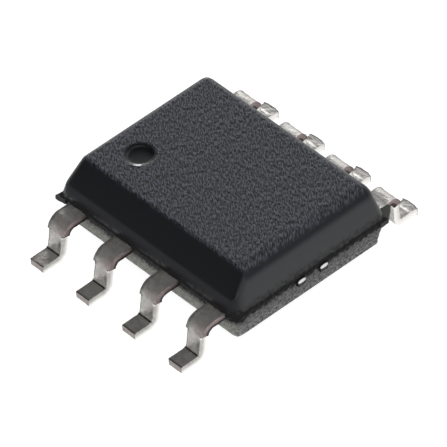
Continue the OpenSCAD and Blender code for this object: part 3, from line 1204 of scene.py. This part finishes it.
# the frame is bare copper inside the moulding, and its cut tie bars are bright ovals outside
def makeFrameCopper():
    finish, tree, shader = newFinish("frameCopper")
    spots = addSpots(tree, paddleLook["spots"])
    place = addNode(tree, "TexCoord").outputs["Object"]
    folded = addMath(tree, "ABSOLUTE", place, kind="VectorMath")
    split = addNode(tree, "SeparateXYZ", Vector=folded)
    nearEnd, onFace = (stepAt(tree, split.outputs["X"], (endX - depth) / metre, blur / metre)
                       for depth, blur in (paddleLook["dustDepth"], paddleLook["cutDepth"]))
    cutMiddle, cutHalf = (Vector(paddleLook[key]) / metre for key in ("cutMiddle", "cutHalf"))
    fromMiddle = addMath(tree, "SUBTRACT", folded, cutMiddle, kind="VectorMath")
    scaled = addMath(tree, "DIVIDE", fromMiddle, cutHalf, kind="VectorMath")
    distance = addMath(tree, "LENGTH", scaled, kind="VectorMath")
    outside = stepAt(tree, distance, 1, paddleLook["cutBlur"])
    copper = mixOver(tree, spots, paddleLook["dark"], paddleLook["light"])
    cut = mixOver(tree, outside, paddleLook["cutBright"], paddleLook["cutShadow"])
    dusty = mixOver(tree, nearEnd, copper, paddleLook["dust"])
    feedAll(tree, shader, {"Base Color": mixOver(tree, onFace, dusty, cut),
                           "Roughness": spreadOver(tree, spots, *paddleLook["roughness"]),
                           "Metallic": paddleLook["metallic"]})
    return finish


resin = makeResin()
tin = makeTin()
innerLooks = {start: makeMottled(look) for start, look in mottledLooks.items()}
innerLooks["die_paddle"] = makeFrameCopper()

shell = makeBody()
dress(shell, resin)
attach(shell, "root")
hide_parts("mould_body")
print("body", len(shell.data.polygons), "faces")
for number, piece in enumerate(makeLeads(), 1):
    dress(piece, tin)
    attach(piece, "root")
    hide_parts("lead_" + str(number))
print("leads", len(piece.data.polygons), "faces each")
for name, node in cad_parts.items():
    for start, finish in innerLooks.items():
        if name.startswith(start):
            dress(node, finish)
print("frame, die and wires have their finishes")


# studio: floor, lights, dark card and camera

studio = {
    "floorSize": 400,
    "floorTone": (0.35, 0.35, 0.35),
    "floorGlow": 0.9,
    "skyStrength": 0.9,
    "cardWay": (-0.35, -0.29, 0.885),
    "cardDistance": 70,
    "cardRadius": 110,
    "cardSides": 64,
    "cardTone": (0, 0, 0),
    "lowCardWay": (0, -1),
    "lowCardFrom": 3.3,
    "lowCardHeight": 0.02,
    "lowCardTone": (0.4, 0.4, 0.42),
    "sideCardWay": (0.69, 0.47, 0.56),
    "sideCardRadius": 32,
    "sideCardTone": (0.6, 0.63, 0.72),
    "glintWay": (-0.74, 0.62, 0.22),
    "glintDistance": 120,
    "glintRadius": 15,
    "glintSides": 48,
    "glintStrength": 9,
}

view = {
    "azimuth": 50.11,
    "elevation": 43.32,
    "roll": -4.02,
    "distance": 161.3,
    "aim": (0.1506, -0.1295, 0.5893),
    "lens": 700.1,
    "sensor": 36,
    "clip": (1, 10000),
}


def aimBack(azimuth, elevation):
    turn, lift = math.radians(azimuth), math.radians(elevation)
    return Vector((math.sin(turn) * math.cos(lift), -math.cos(turn) * math.cos(lift), math.sin(lift)))


def placeCamera():
    back = aimBack(view["azimuth"], view["elevation"])
    lens = bpy.data.cameras.new("mainView")
    camera = bpy.data.objects.new("mainView", lens)
    bpy.context.scene.collection.objects.link(camera)
    roll = Matrix.Rotation(math.radians(view["roll"]), 3, "Z").to_quaternion()
    camera.rotation_mode = "QUATERNION"
    camera.rotation_quaternion = (-back).to_track_quat("-Z", "Y") @ roll
    camera.location = (Vector(view["aim"]) + back * view["distance"]) / metre
    lens.lens = view["lens"]
    lens.sensor_width = view["sensor"]
    lens.clip_start, lens.clip_end = (reach / metre for reach in view["clip"])
    bpy.context.scene.camera = camera


white = (1, 1, 1)


# 1 for what the camera sees by itself, in a reflection or through something clear
def seenDirectly(tree):
    rays = addNode(tree, "LightPath")
    direct = addMath(tree, "MAXIMUM", rays.outputs["Is Camera Ray"], rays.outputs["Is Glossy Ray"])
    return addMath(tree, "MAXIMUM", direct, rays.outputs["Is Transmission Ray"])


# white to the eye, and a little dimmer as the light on the chip
def makeSky():
    sky = bpy.data.worlds.new("sky")
    bpy.context.scene.world = sky
    sky.use_nodes = True
    tree = sky.node_tree
    tree.nodes.clear()
    light = addNode(tree, "Background", Color=white, Strength=studio["skyStrength"])
    backdrop = addNode(tree, "Background", Color=white, Strength=1)
    mix = addNode(tree, "MixShader")
    feedAll(tree, mix, {0: seenDirectly(tree), 1: light.outputs[0], 2: backdrop.outputs[0]})
    addNode(tree, "OutputWorld", Surface=mix.outputs[0])


# matt, with a glow that only the eye sees, so that it is white and keeps its shadow
def makeFloor():
    deselectAll()
    bpy.ops.mesh.primitive_plane_add(size=studio["floorSize"] / metre, location=(0, 0, 0))
    floor = bpy.context.object
    floor.name = "floor"
    finish, tree, _ = newFinish("paleFloor")
    tree.nodes.clear()
    matt = addNode(tree, "BsdfDiffuse", Color=studio["floorTone"])
    stepHighlight = addNode(tree, "Emission", Color=white, Strength=studio["floorGlow"])
    add, mix = addNode(tree, "AddShader"), addNode(tree, "MixShader")
    feedAll(tree, add, {0: matt.outputs[0], 1: stepHighlight.outputs[0]})
    feedAll(tree, mix, {0: seenDirectly(tree), 1: matt.outputs[0], 2: add.outputs[0]})
    addNode(tree, "OutputMaterial", Surface=mix.outputs[0])
    dress(floor, finish)


# cards and lamps that only reflections show
def hideFromLight(piece):
    piece.visible_camera = False
    piece.visible_diffuse = False
    piece.visible_shadow = False


def makeMatt(name, tone):
    finish, tree, shader = newFinish(name)
    feedAll(tree, shader, {"Base Color": tone, "Roughness": 1})
    return finish


# a disc that faces the chip from some way off
def addDisc(name, finish, way, distance, radius, sides):
    deselectAll()
    way = Vector(way).normalized()
    bpy.ops.mesh.primitive_circle_add(vertices=sides, radius=radius / metre, fill_type="NGON",
                                      location=way * distance / metre)
    disc = bpy.context.object
    disc.name = name
    disc.rotation_euler = way.to_track_quat("Z", "Y").to_euler()
    dress(disc, finish)
    hideFromLight(disc)


def makeCard(name, way, radius, tone):
    addDisc(name, makeMatt(name + "Tone", tone), way, studio["cardDistance"], radius, studio["cardSides"])


# a small lamp low down behind the left corner, for the glint on the rim of the mark
def makeGlint():
    finish, tree, _ = newFinish("glintLight")
    tree.nodes.clear()
    light = addNode(tree, "Emission", Color=white, Strength=studio["glintStrength"])
    addNode(tree, "OutputMaterial", Surface=light.outputs[0])
    way, distance, radius = studio["glintWay"], studio["glintDistance"], studio["glintRadius"]
    addDisc("glintLamp", finish, way, distance, radius, studio["glintSides"])


# a grey card lies on the floor, well clear of the toes of leads 1 to 4
def makeLowCard():
    deselectAll()
    side = studio["cardRadius"] / metre
    way = Vector((*studio["lowCardWay"], 0)).normalized()
    bpy.ops.mesh.primitive_plane_add(size=2 * side, location=way * (side + studio["lowCardFrom"] / metre))
    card = bpy.context.object
    card.name = "lowDarkCard"
    card.rotation_euler.z = math.atan2(way.y, way.x)
    card.location.z = studio["lowCardHeight"] / metre
    dress(card, makeMatt("lowCardTone", studio["lowCardTone"]))
    hideFromLight(card)


bpy.context.scene.view_settings.view_transform = "Standard"
makeCard("darkCard", studio["cardWay"], studio["cardRadius"], studio["cardTone"])
makeCard("sideCard", studio["sideCardWay"], studio["sideCardRadius"], studio["sideCardTone"])
makeLowCard()
makeGlint()
makeSky()
makeFloor()
placeCamera()
print("studio ready")
